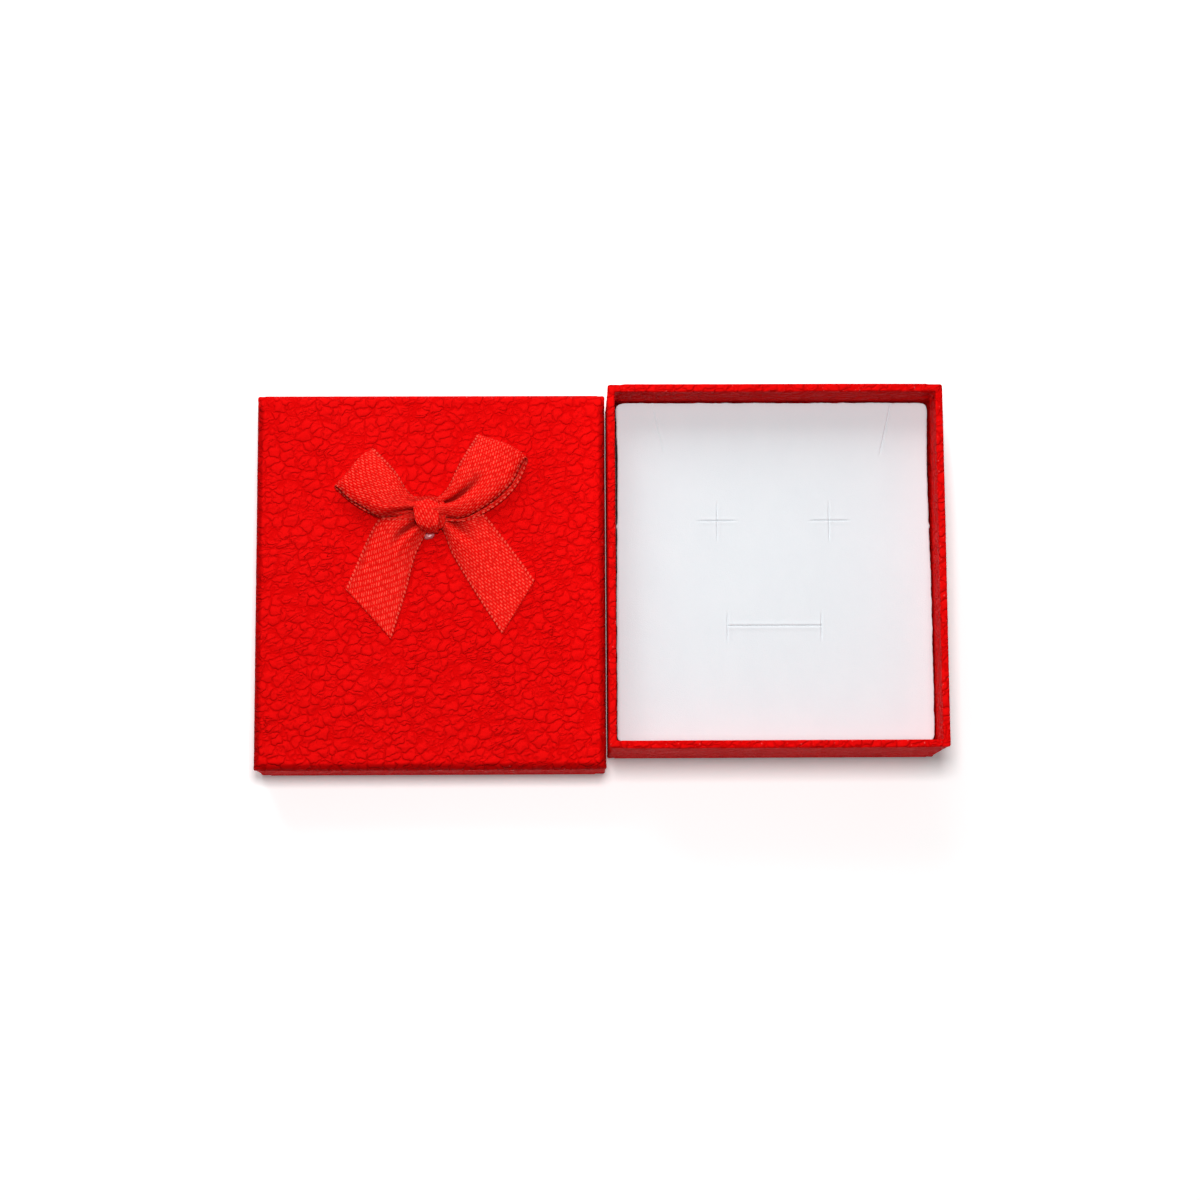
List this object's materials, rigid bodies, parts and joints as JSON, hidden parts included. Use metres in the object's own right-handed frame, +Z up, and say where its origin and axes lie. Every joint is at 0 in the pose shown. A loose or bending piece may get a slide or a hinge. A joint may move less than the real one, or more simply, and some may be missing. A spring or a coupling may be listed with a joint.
{
  "type": "jewelry gift box",
  "caption": "Two-piece rigid paper gift box for jewelry, open beside its lid, with a slit flocked insert and a satin ribbon bow on the lid.",
  "frame": {"origin": "centre of the lower tray's underside, on the surface that tray and lid rest on", "axes": "+X from the lid towards the tray, +Y away from the ring slit towards the necklace cuts, +Z up"},
  "size_m": [0.1564, 0.0864, 0.03],
  "materials": {
    "covering_paper": "satin",
    "greyboard": "matte",
    "paper_tape": "matte",
    "foam": "matte",
    "flock": "matte",
    "ribbon": "satin",
    "glue": "gloss"
  },
  "bodies": {
    "base": {"base_board": "greyboard", "base_wrap": "covering_paper", "base_corner_stay_1": "paper_tape", "base_corner_stay_2": "paper_tape", "base_corner_stay_3": "paper_tape", "base_corner_stay_4": "paper_tape"},
    "insert": {"insert_foam": "foam", "insert_velvet": "flock"},
    "lid": {"lid_board": "greyboard", "lid_wrap": "covering_paper", "lid_corner_stay_1": "paper_tape", "lid_corner_stay_2": "paper_tape", "lid_corner_stay_3": "paper_tape", "lid_corner_stay_4": "paper_tape", "bow_loop_left": "ribbon", "bow_loop_right": "ribbon", "bow_tail_left": "ribbon", "bow_tail_right": "ribbon", "bow_knot": "ribbon", "bow_glue": "glue"}
  },
  "joints": [
    {"name": "lid_lift", "type": "slide", "parent": "base", "child": "lid", "axis": [0, 0, 1], "range_m": [0, 0.06]},
    {"name": "insert_lift", "type": "slide", "parent": "base", "child": "insert", "axis": [0, 0, 1], "range_m": [0, 0.035]}
  ]
}
